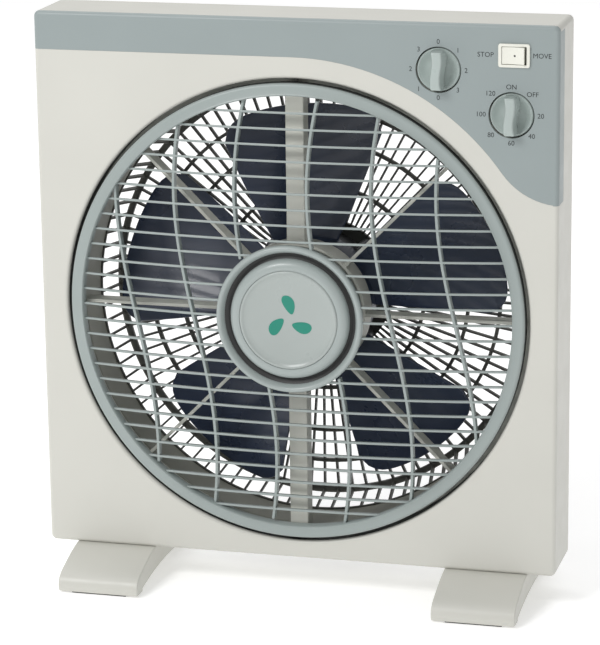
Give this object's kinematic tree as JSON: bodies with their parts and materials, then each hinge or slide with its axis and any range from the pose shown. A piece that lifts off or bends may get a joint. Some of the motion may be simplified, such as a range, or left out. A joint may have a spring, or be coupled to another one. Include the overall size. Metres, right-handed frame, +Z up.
{
  "type": "box fan",
  "caption": "Square box fan on two feet with a motor-driven blade, a slowly turning domed louvre grille, rear guard basket, speed and timer dials and a rocker switch.",
  "frame": {"origin": "on the floor, under the middle of the housing", "axes": "+Z up, air leaves towards -Y, +X to the right of somebody facing the fan"},
  "size_m": [0.37, 0.1412, 0.41],
  "materials": {
    "housing": "warm white moulding, satin",
    "fascia": "blue-grey, satin",
    "grille": "blue-grey, satin",
    "cap": "silver grey paint, satin",
    "badge": "silver grey, satin",
    "spider": "warm grey, satin",
    "guard": "warm grey, satin",
    "duct": "warm grey white, satin",
    "blade": "dark navy, smoky, glossy",
    "knob": "grey green, satin",
    "switch_white": "off-white, satin",
    "black_plastic": "black",
    "steel": "zinc plated",
    "core_steel": "stacked laminations",
    "cast": "pressed and cast light alloy",
    "copper": "enamelled copper",
    "bush": "sintered bronze",
    "rubber": "soft, matt",
    "lead": "sleeved lead"
  },
  "bodies": {
    "housing": {"front_cover": "housing", "control_panel": "fascia", "rear_panel": "duct", "rear_guard": "guard", "motor_cover": "guard", "cord_gland": "black_plastic", "front_spider": "spider", "sync_motor": "cast", "stator_core": "core_steel", "stator_windings": "copper", "motor_front_bell": "cast", "motor_rear_bell": "cast", "motor_front_bush": "bush", "motor_rear_bush": "bush", "speed_switch": "black_plastic", "timer": "switch_white", "switch_body": "switch_white", "terminal_block": "switch_white", "capacitor": "black_plastic", "motor_leads": "lead", "sync_motor_leads": "lead", "left_foot": "housing", "right_foot": "housing", "foot_pads": "rubber", "foot_screws": "steel", "panel_screws": "steel", "guard_screws": "steel", "motor_screws": "steel", "sync_screws": "steel", "spider_screws": "steel"},
    "blade": {"fan_blade": "blade", "blade_nut": "black_plastic", "motor_shaft": "steel", "rotor": "cast"},
    "grille": {"louvre_grille": "grille", "hub_cap": "cap", "hub_disc": "badge", "grille_drive_shaft": "steel"},
    "speed_dial": {"speed_knob": "knob", "speed_spindle": "steel"},
    "timer_dial": {"timer_knob": "knob", "timer_spindle": "steel"},
    "move_rocker": {"rocker": "switch_white"}
  },
  "joints": [
    {"name": "blade_spin", "type": "hinge", "parent": "housing", "child": "blade", "pos_m": [0, 0.035, 0.2028], "axis": [0, 1, 0], "continuous": true},
    {"name": "grille_spin", "type": "hinge", "parent": "housing", "child": "grille", "pos_m": [0, -0.027, 0.2028], "axis": [0, 1, 0], "continuous": true},
    {"name": "speed_knob_turn", "type": "hinge", "parent": "housing", "child": "speed_dial", "pos_m": [0.1022, -0.027, 0.3781], "axis": [0, 1, 0], "continuous": true},
    {"name": "timer_knob_turn", "type": "hinge", "parent": "housing", "child": "timer_dial", "pos_m": [0.1523, -0.027, 0.3489], "axis": [0, 1, 0], "range_deg": [0, 315]},
    {"name": "rocker_tilt", "type": "hinge", "parent": "housing", "child": "move_rocker", "pos_m": [0.1541, -0.025, 0.3895], "axis": [0, 0, 1], "range_deg": [0, 14]}
  ]
}
